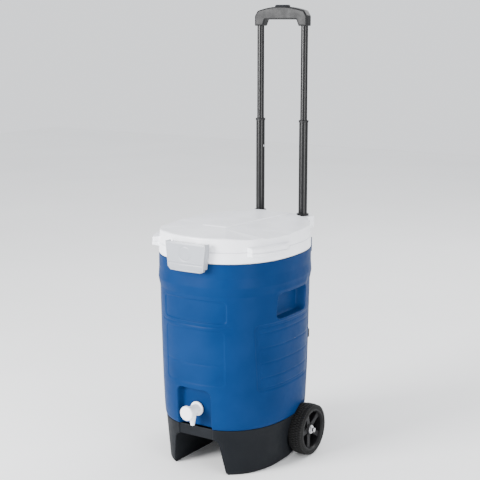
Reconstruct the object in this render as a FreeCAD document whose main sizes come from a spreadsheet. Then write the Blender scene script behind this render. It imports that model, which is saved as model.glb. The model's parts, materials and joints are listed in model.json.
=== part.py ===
import FreeCAD, Part

import math
import os

# A wheeled, insulated beverage cooler with a push-button spigot, a hinged and latched lid and a
# two-stage pull handle.  x runs to the right, y to the back and z up; the origin is on the floor,
# under the middle of the tank.  All sizes are millimetres.

Vector = FreeCAD.Vector
OUTLINE_STEPS = 32
CONTACT_GAP = 0.3
RUNNING_GAP = 0.06

DIMENSIONS = {
    "plan_exponent": 2.36,
    "rim_half_width": 159,
    "rim_half_depth": 187,
    "base_height": 109,
    "foot_half_width": 135,
    "foot_half_depth": 161,
    "foot_shift": -8,
    "shell_top": 494,
    "shell_wall": 2.4,
    "parting_height": 520,
    "lid_top": 558.5,
    "lid_wall": 2.4,
    "mouth_half_width": 120,
    "mouth_half_depth": 148,
    "tank_bottom": 116,
    "tank_wall": 2.4,
    "base_wall": 3,
    "bridge_face_y": -165,
    "tunnel_height": 84,
    "tunnel_top_half_width": 58,
    "tunnel_foot_half_width": 72,
    "pocket_floor_x": 131,
    "pocket_half_length": 62,
    "pocket_bottom": 358,
    "pocket_top": 417,
    "niche_half_width": 46,
    "niche_top": 202,
    "niche_face_y": -158,
    "spigot_height": 150,
    "shank_radius": 11,
    "barrel_radius": 12,
    "tank_offset": -6.75,
    "flange_radius": 16.5,
    "barrel_front_y": -194,
    "spring_seat_y": -186,
    "spout_y": -180,
    "button_radius": 17,
    "button_front_y": -206.5,
    "button_cap": 7,
    "button_travel": 4,
    "stem_radius": 2.5,
    "axle_radius": 5,
    "axle_y": 70,
    "wheel_radius": 61,
    "wheel_inner_x": 137,
    "wheel_outer_x": 174,
    "tyre_inner_radius": 50,
    "well_radius": 66,
    "well_x": 131.5,
    "axle_half_length": 176,
    "tube_half_spacing": 61,
    "tube_y": 204,
    "sleeve_radius": 13,
    "sleeve_bore": 11.9,
    "sleeve_bottom": 236,
    "sleeve_length": 312,
    "middle_radius": 10.75,
    "middle_bore": 9.5,
    "middle_bottom": 470,
    "middle_length": 305,
    "upper_radius": 8.5,
    "upper_bore": 7.2,
    "upper_bottom": 700,
    "upper_length": 312,
    "tower_top": 548,
    "tower_half_width": 87,
    "tower_front_y": 190,
    "tower_back_y": 219,
    "housing_half_width": 91,
    "housing_back_y": 220,
    "housing_bottom": 458,
    "hinge_y": 172,
    "hinge_z": 541,
    "hinge_pin_radius": 3,
    "ear_x": 75,
    "ear_width": 18,
    "latch_pin_y": -196,
    "latch_pin_z": 534,
    "latch_pin_radius": 2,
    "latch_half_width": 55,
    "latch_foot_half_width": 46,
    "latch_low": 476,
    "latch_top": 541,
    "latch_wall": 4,
    "grip_bottom": 1002,
    "grip_top": 1048,
}

# Height above the floor and share of the rim's size: the taper of the outer shell and its lip.
BODY_PROFILE = (
    (109, 0.930),
    (116, 0.943),
    (135, 0.951),
    (200, 0.966),
    (320, 0.981),
    (426, 0.990),
    (434, 1.010),
    (442, 1.012),
    (452, 1.003),
    (494, 1.003),
)

doc = FreeCAD.newDocument("WheeledBeverageCooler")
sheet = doc.addObject("Spreadsheet::Sheet", "Dimensions")
for row, (alias, value) in enumerate(DIMENSIONS.items(), start=1):
    sheet.set(f"A{row}", alias)
    sheet.set(f"B{row}", str(value))
    sheet.setAlias(f"B{row}", alias)
doc.recompute()

sub_parts = []


def size(alias):
    """The number that the sheet holds under an alias."""
    return float(getattr(sheet, alias))


# ---------------------------------------------------------------- document objects


def sub_part(solid, label):
    """Registers a document object as a sub-part with its own label."""
    solid.Label = label
    sub_parts.append(solid)
    return solid


def frame_shift():
    """From the tank's middle, where y is 0 while modelling, to the middle of the whole cooler."""
    return Vector(0, size("tank_offset"), 0)


def feature(label, shape, place=(0, 0, 0)):
    """A sub-part whose shape comes from Part's own functions."""
    solid = doc.addObject("Part::Feature", label)
    solid.Shape = shape
    moved = FreeCAD.Placement(Vector(*place) + frame_shift(), FreeCAD.Rotation())
    solid.Placement = moved * shape.Placement
    return sub_part(solid, label)


def bound_cylinder(name, radius, height, place, axis=(0, 0, 1)):
    """A cylinder bound to the sheet: radius and height are expressions in the sheet's aliases."""
    solid = doc.addObject("Part::Cylinder", name)
    solid.setExpression("Radius", radius)
    solid.setExpression("Height", height)
    solid.Placement = FreeCAD.Placement(
        Vector(*place) + frame_shift(), FreeCAD.Rotation(Vector(0, 0, 1), Vector(*axis))
    )
    return solid


def bound_cut(name, base, tool):
    """What is left of base when tool is taken away."""
    result = doc.addObject("Part::Cut", name)
    result.Base = base
    result.Tool = tool
    return result


def bound_group(name, solids):
    """Several separate, identical solids in one node."""
    result = doc.addObject("Part::Compound", name)
    result.Links = solids
    return result


def bound_tube(name, radius, bore, height, place):
    """An upright tube bound to the sheet."""
    outside = bound_cylinder(name + "_outside", radius, height, place)
    inside = bound_cylinder(name + "_bore", bore, height, place)
    return bound_cut(name + "_tube", outside, inside)


# ---------------------------------------------------------------- shapes


def block(x_range, y_range, z_range):
    """A box between two corners."""
    corner = Vector(x_range[0], y_range[0], z_range[0])
    return Part.makeBox(
        x_range[1] - x_range[0], y_range[1] - y_range[0], z_range[1] - z_range[0], corner
    )


def rounded_block(x_range, y_range, z_range, radius, along):
    """A box whose four edges along one axis, a Vector, are rounded."""
    solid = block(x_range, y_range, z_range)
    edges = [e for e in solid.Edges if e.tangentAt(e.FirstParameter).cross(along).Length < 1e-6]
    return solid.makeFillet(radius, edges)


def rod_x(radius, x_range, y, z):
    """A cylinder along x."""
    return Part.makeCylinder(radius, x_range[1] - x_range[0], Vector(x_range[0], y, z), Vector(1, 0, 0))


def rod_y(radius, y_range, x, z):
    """A cylinder along y."""
    return Part.makeCylinder(radius, y_range[1] - y_range[0], Vector(x, y_range[0], z), Vector(0, 1, 0))


def rod_z(radius, z_range, x, y):
    """A cylinder along z."""
    return Part.makeCylinder(radius, z_range[1] - z_range[0], Vector(x, y, z_range[0]))


def prism_y(points, y_range):
    """A polygon of x and z points, extended along y."""
    corners = [Vector(x, y_range[0], z) for x, z in points]
    face = Part.Face(Part.makePolygon(corners + corners[:1]))
    return face.extrude(Vector(0, y_range[1] - y_range[0], 0))


def prism_x(points, x_range):
    """A polygon of y and z points, extended along x."""
    corners = [Vector(x_range[0], y, z) for y, z in points]
    face = Part.Face(Part.makePolygon(corners + corners[:1]))
    return face.extrude(Vector(x_range[1] - x_range[0], 0, 0))


def mirrored(shape):
    """A shape and its mirror image across the middle plane."""
    return shape, shape.mirror(Vector(0, 0, 0), Vector(1, 0, 0))


def both_sides(shape):
    """A shape fused with its mirror image across the middle plane."""
    left, right = mirrored(shape)
    return left.fuse(right)


def plan_outline(half_width, half_depth, height, centre_y):
    """The cooler's plan section, a superellipse, as a closed smooth curve."""
    power = 2.0 / size("plan_exponent")
    points = []
    for step in range(OUTLINE_STEPS):
        turn = 2.0 * math.pi * step / OUTLINE_STEPS
        x = half_width * math.copysign(abs(math.cos(turn)) ** power, math.cos(turn))
        y = half_depth * math.copysign(abs(math.sin(turn)) ** power, math.sin(turn))
        points.append(Vector(x, centre_y + y, height))
    curve = Part.BSplineCurve()
    curve.interpolate(Points=points, PeriodicFlag=True)
    return Part.Wire([curve.toShape()])


def hull(levels, inset=0.0):
    """A solid through plan sections: (height, half width, half depth, centre y) each."""
    outlines = [plan_outline(w - inset, d - inset, z, y) for z, w, d, y in levels]
    return Part.makeLoft(outlines, True, True)


def share_at(height):
    """The outer shell's share of the rim's size at a height."""
    for (low, low_share), (high, high_share) in zip(BODY_PROFILE, BODY_PROFILE[1:]):
        if height <= high:
            return low_share + (high_share - low_share) * (height - low) / (high - low)
    return BODY_PROFILE[-1][1]


def body_hull(bottom, top, inset=0.0):
    """The outer shell's own shape between two heights."""
    heights = [bottom] + [z for z, _ in BODY_PROFILE if bottom < z < top] + [top]
    levels = []
    for height in heights:
        share = share_at(height)
        levels.append((height, share * size("rim_half_width"), share * size("rim_half_depth"), 0))
    return hull(levels, inset)


def straight_hull(half_width, half_depth, bottom, top):
    """A plan section that keeps its size between two heights."""
    return hull([(bottom, half_width, half_depth, 0), (top, half_width, half_depth, 0)])


def coil(radius, wire, start, pitch, turns, axis):
    """A spring of round wire that starts at a point and climbs along an axis."""
    steps = int(12 * turns)
    points = []
    for step in range(steps + 1):
        turn = 2.0 * math.pi * step / 12
        height = pitch * step / 12
        points.append(Vector(radius * math.cos(turn), radius * math.sin(turn), height))
    path = Part.BSplineCurve()
    path.interpolate(Points=points)
    section = Part.Wire([Part.makeCircle(wire, points[0], path.tangent(path.FirstParameter)[0])])
    spring = Part.Wire([path.toShape()]).makePipeShell([section], True, True)
    spring.Placement = FreeCAD.Placement(
        Vector(*start), FreeCAD.Rotation(Vector(0, 0, 1), Vector(*axis))
    )
    return spring


# ---------------------------------------------------------------- recesses shared by the mouldings


def pockets(grow=0.0):
    """The two carry pockets in the sides."""
    reach = size("pocket_half_length") + grow
    pocket = rounded_block(
        (size("pocket_floor_x") - grow, size("rim_half_width") + 40),
        (-reach, reach),
        (size("pocket_bottom") - grow, size("pocket_top") + grow),
        14 + grow,
        Vector(1, 0, 0),
    )
    return both_sides(pocket)


def niche(grow=0.0):
    """The recess that the spigot stands in."""
    reach = size("niche_half_width") + grow
    return rounded_block(
        (-reach, reach),
        (-size("rim_half_depth") - 40, size("niche_face_y") + grow),
        (size("base_height") - 45, size("niche_top") + grow),
        20 + grow,
        Vector(0, 1, 0),
    )


def wheel_wells(grow=0.0):
    """The two round recesses that the wheels turn in."""
    well = rod_x(
        size("well_radius") + grow,
        (size("well_x") - grow, size("wheel_outer_x") + 40),
        size("axle_y"),
        size("wheel_radius"),
    )
    return both_sides(well)


def tunnel(grow=0.0):
    """The arch for a cup, which runs under the base from front to back."""
    foot = size("tunnel_foot_half_width") + grow
    top = size("tunnel_top_half_width") + grow
    height = size("tunnel_height") + grow
    arch = prism_y([(-foot, -1), (foot, -1), (top, height), (-top, height)], (-260, 260))
    crowns = [
        e
        for e in arch.Edges
        if e.BoundBox.ZMin > height - 1 and e.BoundBox.YLength > 100
    ]
    return arch.makeFillet(18 + grow, crowns)


def rear_slope(grow=0.0):
    """What is cut from the base behind the wheels, so that the cooler can lean back on them."""
    start_y = 84 - 1.6 * grow
    reach = 200
    return prism_x(
        [(start_y, -1), (start_y + reach, -1), (start_y + reach, 0.78 * reach), (start_y, 0)],
        (-200, 200),
    )


def sleeve_holes(bottom, top):
    """The two holes that the handle's fixed sleeves pass through."""
    hole = rod_z(
        size("sleeve_radius") + RUNNING_GAP,
        (bottom, top),
        size("tube_half_spacing"),
        size("tube_y"),
    )
    return both_sides(hole)


def base_screw_places():
    """The four places, x and y, where the base is screwed to the shell."""
    return [(x, y) for x in (-46, 46) for y in (-92, 92)]


# ---------------------------------------------------------------- tank


def outer_shell():
    wall = size("shell_wall")
    floor = size("base_height")
    top = size("shell_top")
    half = size("housing_half_width")
    back = size("housing_back_y")
    low = size("housing_bottom")
    upright = Vector(0, 0, 1)
    housing = rounded_block((-half, half), (120, back), (low, top), 18, upright)
    housing_inside = rounded_block(
        (-half + wall, half - wall), (120, back - wall), (low + wall, top + 1), 15, upright
    )
    inside = body_hull(floor + wall, top, wall).fuse(housing_inside)
    inside = inside.cut(pockets(wall)).cut(niche(wall)).cut(wheel_wells(wall))
    shell = body_hull(floor, top).fuse(housing)
    shell = shell.cut(pockets()).cut(niche()).cut(wheel_wells()).cut(inside)
    shell = shell.cut(sleeve_holes(low - 1, low + wall + 1))
    shell = shell.cut(rod_y(size("shank_radius") + 0.2, (-200, -140), 0, size("spigot_height")))
    for x, y in base_screw_places():
        shell = shell.cut(rod_z(2.6, (floor - 1, floor + wall + 1), x, y))
    for x in (-30, 30):
        shell = shell.cut(rod_y(2.6, (150, 200), x, 252))
    return shell


def insulation():
    wall = size("shell_wall") + 0.5
    bottom = size("base_height") + wall
    foam = body_hull(bottom, 486, wall)
    foam = foam.cut(pockets(wall)).cut(niche(wall)).cut(wheel_wells(wall))
    foam = foam.cut(tank_hull(-0.5))
    foam = foam.cut(rod_y(size("shank_radius") + 0.3, (-200, -120), 0, size("spigot_height")))
    for x in (-30, 30):
        foam = foam.cut(rod_y(3, (165, 200), x, 252))
    return foam


def tank_hull(inset=0.0):
    """The tank's outside; its size at the top is the mouth plus the tank's wall."""
    wall = size("tank_wall")
    width = size("mouth_half_width") + wall
    depth = size("mouth_half_depth") + wall
    bottom = size("tank_bottom") + inset
    levels = [
        (bottom, width - 22, depth - 22, 0),
        (bottom + 10, width - 12, depth - 12, 0),
        (size("shell_top") - 0.2, width, depth, 0),
    ]
    return hull(levels, inset)


def inner_liner():
    wall = size("tank_wall")
    flange = straight_hull(
        size("mouth_half_width") + 9, size("mouth_half_depth") + 9, 489, size("shell_top") - 0.2
    )
    inside = tank_hull(wall)
    mouth = straight_hull(size("mouth_half_width"), size("mouth_half_depth"), 480, 500)
    liner = tank_hull().fuse(flange).cut(inside).cut(mouth)
    return liner.cut(rod_y(size("shank_radius") + 0.2, (-180, -100), 0, size("spigot_height")))


def tab_sector(side):
    """The wedge of plan, seen from above, that a finger tab covers."""
    reach = 400
    start = math.radians(-44)
    end = math.radians(-12)
    corners = [
        Vector(0, 0, 400),
        Vector(side * reach * math.cos(start), reach * math.sin(start), 400),
        Vector(side * reach * math.cos(end), reach * math.sin(end), 400),
    ]
    return Part.Face(Part.makePolygon(corners + corners[:1])).extrude(Vector(0, 0, 300))


def finger_tabs(bottom, top, reach, core_inset):
    """The two finger tabs at the front corners, between two heights."""
    width = size("rim_half_width")
    depth = size("rim_half_depth")
    ring = straight_hull(width + reach, depth + reach, bottom, top)
    ring = ring.cut(straight_hull(width - core_inset, depth - core_inset, bottom - 1, top + 1))
    return [ring.common(tab_sector(side)) for side in (-1, 1)]


def rim_ring():
    width = size("rim_half_width")
    depth = size("rim_half_depth")
    low = size("shell_top")
    top = size("parting_height")
    half = size("tower_half_width")
    ring = hull([(low, width, depth, 0), (top, width, depth, 0)])
    shelf = rounded_block(
        (-half, half), (120, size("tower_back_y")), (low, top), 16, Vector(0, 0, 1)
    )
    ring = ring.fuse(shelf)
    skin = 2.6
    channel = straight_hull(width - skin, depth - skin, low - 1, top - skin)
    land = straight_hull(
        size("mouth_half_width") + skin, size("mouth_half_depth") + skin, low - 2, top
    )
    ring = ring.cut(channel.cut(land).cut(block((-half, half), (120, 230), (low - 3, top))))
    for tab in finger_tabs(top - 9, top, 16, 2):
        ring = ring.fuse(tab)
    catch = block((-28, 28), (-192.2, -184.6), (497, 502))
    ring = ring.fuse(catch)
    mouth = straight_hull(
        size("mouth_half_width"), size("mouth_half_depth"), low - 1, top + 1
    )
    return ring.cut(mouth).cut(sleeve_holes(low - 1, top + 1))


def rear_tower():
    half = size("tower_half_width")
    low = size("parting_height")
    top = size("tower_top")
    pin_y = size("hinge_y")
    pin_z = size("hinge_z")
    tower = rounded_block(
        (-half, half), (size("tower_front_y"), size("tower_back_y")), (low, top), 6, Vector(0, 0, 1)
    )
    ear_start = size("ear_x") - size("ear_width") / 2
    ear_end = ear_start + size("ear_width")
    ear = block((ear_start, ear_end), (pin_y - 9, pin_y), (low, pin_z))
    ear = ear.fuse(block((ear_start, ear_end), (pin_y, size("tower_front_y") + 2), (low, pin_z + 7)))
    ear = ear.fuse(rod_x(9, (ear_start, ear_end), pin_y, pin_z))
    tower = tower.fuse(both_sides(ear))
    pin_hole = rod_x(size("hinge_pin_radius") + RUNNING_GAP, (40, 110), pin_y, pin_z)
    return tower.cut(both_sides(pin_hole)).cut(sleeve_holes(low - 1, top + 1))


# ---------------------------------------------------------------- lid


def lid_facets(sink=0.0):
    """Half spaces above the lid's sloping facets: two wings and the front."""
    top = size("lid_top")
    facets = []
    for corner, normal in (
        (Vector(31, -85, top), Vector(0.1, -0.009, 1)),
        (Vector(-31, -85, top), Vector(-0.1, -0.009, 1)),
        (Vector(0, -90, top), Vector(0, -0.075, 1)),
    ):
        direction = normal.normalize()
        half_space = Part.makeBox(900, 900, 80, Vector(-450, -450, 0))
        turn = FreeCAD.Rotation(Vector(0, 0, 1), direction)
        half_space.Placement = FreeCAD.Placement(corner - direction * sink, turn)
        facets.append(half_space)
    return facets


def lid_hull(inset=0.0, sink=0.0):
    """The lid's outside, with its rounded upper edge and its facets."""
    width = size("rim_half_width") - 1 - inset
    depth = size("rim_half_depth") - 1 - inset
    low = size("parting_height") + CONTACT_GAP
    top = size("lid_top") - sink
    levels = [
        (low, width, depth, 0),
        (top - 13, width - 1, depth - 1, 0),
        (top - 6, width - 4, depth - 4, 0),
        (top - 2, width - 10, depth - 10, 0),
        (top, width - 17, depth - 17, 0),
    ]
    solid = hull(levels)
    for half_space in lid_facets(sink):
        solid = solid.cut(half_space)
    return solid


def ear_notches(grow=0.0):
    """The gaps in the lid that the hinge's fixed ears stand in."""
    start = size("ear_x") - size("ear_width") / 2 - 0.5 - grow
    end = start + size("ear_width") + 1 + 2 * grow
    gap = block((start, end), (size("hinge_y") - 12 - grow, 230), (480, 600))
    return both_sides(gap)


def swing_trim():
    """What the lid's rear lower edge gives up so that it clears the rim as the lid opens."""
    pin_y = size("hinge_y")
    pin_z = size("hinge_z")
    reach = pin_z - size("parting_height") - 0.6
    corner = block((-200, 200), (pin_y, pin_y + 60), (480, pin_z))
    return corner.cut(rod_x(reach, (-201, 201), pin_y, pin_z))


def knuckles(radius):
    """The lid's bosses on both sides of each ear."""
    start = size("ear_x") - size("ear_width") / 2 - 0.5
    end = start + size("ear_width") + 1
    inner = rod_x(radius, (start - 14, start), size("hinge_y"), size("hinge_z"))
    outer = rod_x(radius, (end, end + 14), size("hinge_y"), size("hinge_z"))
    return both_sides(inner.fuse(outer))


def lid_void(clearance):
    """The room between the lid's skin and its inner panel."""
    wall = size("lid_wall") + clearance
    room = lid_hull(wall, wall).cut(ear_notches(2 + clearance))
    return room.cut(knuckles(8 + clearance))


def lid_shell():
    pin_y = size("latch_pin_y")
    pin_z = size("latch_pin_z")
    low = size("parting_height") + CONTACT_GAP
    shell = lid_hull().fuse(knuckles(8))
    for tab in finger_tabs(low, low + 9.5, 16, 6):
        shell = shell.fuse(tab)
    shell = shell.cut(lid_void(0))
    for start in (-31, 19):
        lug = block((start, start + 12), (pin_y, -182), (pin_z - 4.5, pin_z + 4.5))
        lug = lug.fuse(rod_x(4.5, (start, start + 12), pin_y, pin_z))
        shell = shell.fuse(lug)
    shell = shell.cut(ear_notches()).cut(swing_trim())
    pin_hole = rod_x(size("hinge_pin_radius") + RUNNING_GAP, (46, 104), size("hinge_y"), size("hinge_z"))
    latch_hole = rod_x(size("latch_pin_radius") + RUNNING_GAP, (-60, 60), pin_y, pin_z)
    return shell.cut(both_sides(pin_hole)).cut(latch_hole)


def plug_levels(bottom, top):
    """The plan sections of the plug under the lid, which tapers to clear the mouth."""
    width = size("mouth_half_width")
    depth = size("mouth_half_depth")
    return [(bottom, width - 3, depth - 4, 0), (top, width - 1.8, depth - 2.3, 0)]


def lid_liner():
    low = size("parting_height") + CONTACT_GAP
    wall = size("lid_wall") + 0.5
    panel = straight_hull(
        size("rim_half_width") - 1 - wall, size("rim_half_depth") - 1 - wall, low, low + 2.7
    )
    panel = panel.cut(ear_notches(2.5)).cut(swing_trim())
    plug = hull(plug_levels(501, low))
    room = hull(plug_levels(501, low), 3).cut(block((-300, 300), (-300, 300), (490, 504)))
    opening = straight_hull(
        size("mouth_half_width") - 4.8, size("mouth_half_depth") - 5.3, low - 1, low + 4
    )
    return panel.fuse(plug).cut(room).cut(opening)


def lid_foam():
    low = size("parting_height") + CONTACT_GAP + 3
    slab = lid_void(0.5).cut(block((-300, 300), (-300, 300), (480, low)))
    slab = slab.cut(swing_trim())
    core = hull(plug_levels(501, low + 2), 3.5)
    core = core.cut(block((-300, 300), (-300, 300), (490, 504.5)))
    return slab.fuse(core)


def lid_gasket():
    ring = straight_hull(
        size("mouth_half_width") - 0.8, size("mouth_half_depth") - 0.8, 512, 517
    )
    return ring.cut(hull(plug_levels(501, size("parting_height") + CONTACT_GAP)))


# ---------------------------------------------------------------- latch


def latch():
    half = size("latch_half_width")
    foot = size("latch_foot_half_width")
    pin_y = size("latch_pin_y")
    pin_z = size("latch_pin_z")
    wall = size("latch_wall")
    front = pin_y - 9
    back = pin_y + 10
    low = size("latch_low")
    top = size("latch_top")
    outline = [(-foot, low), (foot, low), (half, top), (-half, top)]
    plate = prism_y(outline, (front, back))
    corners = [e for e in plate.Edges if e.BoundBox.YLength > 10]
    plate = plate.makeFillet(7, corners)
    foot_room = foot - wall - 1
    room_low = low + wall
    room = [(-foot_room, room_low), (foot_room, room_low), (half - wall, top + 1), (wall - half, top + 1)]
    plate = plate.cut(prism_y(room, (front + 3, back + 1)))
    plate = plate.cut(block((-foot_room, foot_room), (pin_y + 6, back + 1), (low - 1, room_low + 1)))
    hook = block((-26, 26), (front + 2, -192.6), (489, 495))
    plate = plate.fuse(hook)
    return plate.cut(rod_x(size("latch_pin_radius") + RUNNING_GAP, (-60, 60), pin_y, pin_z))


# ---------------------------------------------------------------- base


def bridge_recess(grow=0.0):
    """What sets the bridge below the spigot back from the base's front."""
    reach = size("niche_half_width") + grow
    return block(
        (-reach, reach), (-260, size("bridge_face_y") + grow), (60, size("base_height") + 1)
    )


def base_skid():
    wall = size("base_wall")
    top = size("base_height")
    width = size("foot_half_width")
    depth = size("foot_half_depth")
    shift = size("foot_shift")
    share = share_at(top)
    levels = [
        (0, width - 5, depth - 5, shift),
        (6, width, depth, shift),
        (top, share * size("rim_half_width"), share * size("rim_half_depth"), 0),
    ]
    axle_y = size("axle_y")
    axle_z = size("wheel_radius")
    inside = hull(levels, wall).cut(block((-300, 300), (-300, 300), (-1, wall)))
    inside = inside.cut(tunnel(wall)).cut(wheel_wells(wall)).cut(rear_slope(wall))
    inside = inside.cut(both_sides(rod_x(11, (60, 140), axle_y, axle_z)))
    inside = inside.cut(bridge_recess(wall))
    for x, y in base_screw_places():
        inside = inside.cut(rod_z(9, (80, top), x, y))
    base = hull(levels).cut(tunnel()).cut(wheel_wells()).cut(rear_slope()).cut(inside)
    base = base.cut(bridge_recess())
    boss = rod_x(11, (size("well_x") - 2, 133.4), axle_y, axle_z)
    base = base.fuse(both_sides(boss))
    for x, y in base_screw_places():
        base = base.cut(rod_z(2.9, (80, top + 1), x, y)).cut(rod_z(6, (80, 96), x, y))
    return base.cut(rod_x(size("axle_radius") + RUNNING_GAP, (-190, 190), axle_y, axle_z))


def base_screws():
    screws = []
    for x, y in base_screw_places():
        head = rod_z(5.2, (92, 95.8), x, y)
        drive = rod_z(2, (91, 93.5), x, y)
        screws.append(head.fuse(rod_z(2.5, (95.8, 111), x, y)).cut(drive))
    return Part.makeCompound(screws)


# ---------------------------------------------------------------- wheels


def wheel_hub():
    """A plastic wheel centre on the x axis: rim, five spokes and a boss."""
    inner = size("wheel_inner_x")
    outer = size("wheel_outer_x")
    radius = size("tyre_inner_radius")
    rim = rod_x(radius, (inner, outer), 0, 0).cut(rod_x(radius - 6, (inner - 1, outer + 1), 0, 0))
    boss = rod_x(14, (134.3, 166), 0, 0)
    hub = rim.fuse(boss)
    for number in range(5):
        spoke = block((147, 168), (-6.5, 6.5), (10, radius - 3))
        spoke.rotate(Vector(0, 0, 0), Vector(1, 0, 0), 72 * number + 22)
        hub = hub.fuse(spoke)
    hub = hub.cut(rod_x(14.01, (166, 175), 0, 0))
    return hub.cut(rod_x(size("axle_radius") + RUNNING_GAP, (120, 190), 0, 0))


def tyre():
    """A solid rubber tread ring with rounded shoulders and blocks across it."""
    inner = size("wheel_inner_x")
    outer = size("wheel_outer_x")
    radius = size("wheel_radius")
    ring = rod_x(radius, (inner, outer), 0, 0)
    shoulders = [e for e in ring.Edges if e.BoundBox.ZLength > 10 and e.BoundBox.XLength < 1]
    ring = ring.makeFillet(7, shoulders)
    return ring.cut(rod_x(size("tyre_inner_radius"), (inner - 1, outer + 1), 0, 0))


def wheel_pair(shape_maker, label):
    """The right and left copies of a wheel piece, each its own sub-part."""
    right, left = mirrored(shape_maker())
    place = (0, size("axle_y"), size("wheel_radius"))
    feature(label + "_right", right, place)
    feature(label + "_left", left, place)


def axle_washers():
    """Flat washers beside the boss of each wheel, inside and outside."""
    rings = []
    y = size("axle_y")
    z = size("wheel_radius")
    for start, end, radius in ((133.5, 134.2, 10), (166.1, 167.6, 10)):
        ring = rod_x(radius, (start, end), y, z)
        bore = rod_x(size("axle_radius") + RUNNING_GAP, (start - 1, end + 1), y, z)
        rings.extend(mirrored(ring.cut(bore)))
    return Part.makeCompound(rings)


def push_nuts():
    """Domed caps pressed on the axle's ends."""
    cap = rod_x(8, (167.7, 170), size("axle_y"), size("wheel_radius"))
    cap = cap.cut(rod_x(size("axle_radius"), (160, 180), size("axle_y"), size("wheel_radius")))
    return Part.makeCompound(list(mirrored(cap)))


# ---------------------------------------------------------------- spigot


def spigot_body():
    """The flange, barrel and spout, bored for the valve, its stem and its spring."""
    height = size("spigot_height")
    face = size("niche_face_y") - 2.5
    front = size("barrel_front_y")
    seat = size("spring_seat_y")
    spout_y = size("spout_y")
    shank = rod_y(size("shank_radius"), (face, -122), 0, height)
    flange = rod_y(size("flange_radius"), (face - 4, face), 0, height)
    barrel = rod_y(size("barrel_radius"), (front, face), 0, height)
    spout = Part.makeCone(4.6, 9.5, 30, Vector(0, spout_y, 116))
    solid = shank.fuse(flange).fuse(barrel).fuse(spout)
    chamber = rod_y(6, (seat + 2, -152), 0, height)
    seat_hole = rod_y(4.5, (-153, -148), 0, height)
    tank_bore = rod_y(9, (-149, -121), 0, height)
    spring_bore = rod_y(9, (front - 1, seat), 0, height)
    stem_hole = rod_y(size("stem_radius") + RUNNING_GAP, (seat - 1, seat + 3), 0, height)
    outlet = rod_z(3.2, (115, height), 0, spout_y)
    for hollow in (chamber, seat_hole, tank_bore, spring_bore, stem_hole, outlet):
        solid = solid.cut(hollow)
    return solid


def spigot_ring(radius, y_range):
    """A ring round the spigot's shank."""
    height = size("spigot_height")
    ring = rod_y(radius, y_range, 0, height)
    return ring.cut(rod_y(size("shank_radius") + RUNNING_GAP, (y_range[0] - 1, y_range[1] + 1), 0, height))


def spigot_nut():
    height = size("spigot_height")
    ring = spigot_ring(18, (-133, -125))
    for number in range(8):
        notch = rod_y(2.5, (-134, -124), 19, height)
        notch.rotate(Vector(0, 0, height), Vector(0, 1, 0), 45 * number)
        ring = ring.cut(notch)
    return ring


def spigot_button():
    """The push button: a domed cap and the sleeve that guides it over its spring."""
    height = size("spigot_height")
    front = size("button_front_y")
    back = front + size("button_cap")
    sleeve_end = size("spring_seat_y") - size("button_travel") - 0.3
    cap = rod_y(size("button_radius"), (front, back), 0, height)
    edge = [e for e in cap.Edges if e.BoundBox.YMax < front + 0.1 and e.BoundBox.XLength > 10]
    cap = cap.makeFillet(4, edge)
    sleeve = rod_y(8.9, (back - 0.5, sleeve_end), 0, height)
    sleeve = sleeve.cut(rod_y(7.3, (back, sleeve_end + 1), 0, height))
    return cap.fuse(sleeve).cut(rod_y(size("stem_radius"), (front + 4, back + 2), 0, height))


# ---------------------------------------------------------------- handle


def handle_bush(bore, neck_radius, flange_radius, height, neck):
    """A pair of guide bushes: a flange on a tube's top end and a neck inside it."""
    x = size("tube_half_spacing")
    y = size("tube_y")
    bush = rod_z(flange_radius, (height, height + 5), x, y)
    bush = bush.makeFillet(1.5, [e for e in bush.Edges if e.BoundBox.ZMin > height + 4.9])
    bush = bush.fuse(rod_z(neck_radius, (height - neck, height + 1), x, y))
    bush = bush.cut(rod_z(bore, (height - neck - 1, height + 6), x, y))
    return Part.makeCompound(list(mirrored(bush)))


def tube_feet(radius, neck_radius, height, neck):
    """A pair of guide feet: a disc under a tube's bottom end and a neck inside it."""
    x = size("tube_half_spacing")
    y = size("tube_y")
    disc = rod_z(radius, (height - 6, height), x, y)
    return disc.fuse(rod_z(neck_radius, (height - 1, height + neck), x, y))


def sleeve_bracket():
    bracket = rounded_block((-80, 80), (150, 218), (242, 262), 10, Vector(0, 0, 1))
    bracket = bracket.cut(body_hull(200, 300, -CONTACT_GAP)).cut(sleeve_holes(240, 264))
    for x in (-30, 30):
        bracket = bracket.cut(rod_y(2.6, (150, 220), x, 252)).cut(rod_y(6, (213, 220), x, 252))
    return bracket


def bracket_screws():
    screws = []
    for x in (-30, 30):
        screws.append(rod_y(2.5, (177.8, 213), x, 252).fuse(rod_y(5.5, (213, 216.5), x, 252)))
    return Part.makeCompound(screws)


def middle_tube(side):
    """One middle tube, with the hole that its snap button shows in."""
    low = size("middle_bottom")
    tube = rod_z(size("middle_radius"), (low, low + size("middle_length")), 0, 0)
    tube = tube.cut(rod_z(size("middle_bore"), (400, 900), 0, 0))
    return tube.cut(rod_x(3.05, sorted((0, -side * 20)), 0, 712))


def snap_buttons():
    buttons = []
    for side in (-1, 1):
        centre = side * size("tube_half_spacing")
        start = centre - side * 9.0
        end = centre - side * (size("middle_radius") - 0.5)
        buttons.append(rod_x(3, sorted((start, end)), size("tube_y"), 712))
    return Part.makeCompound(buttons)


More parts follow.
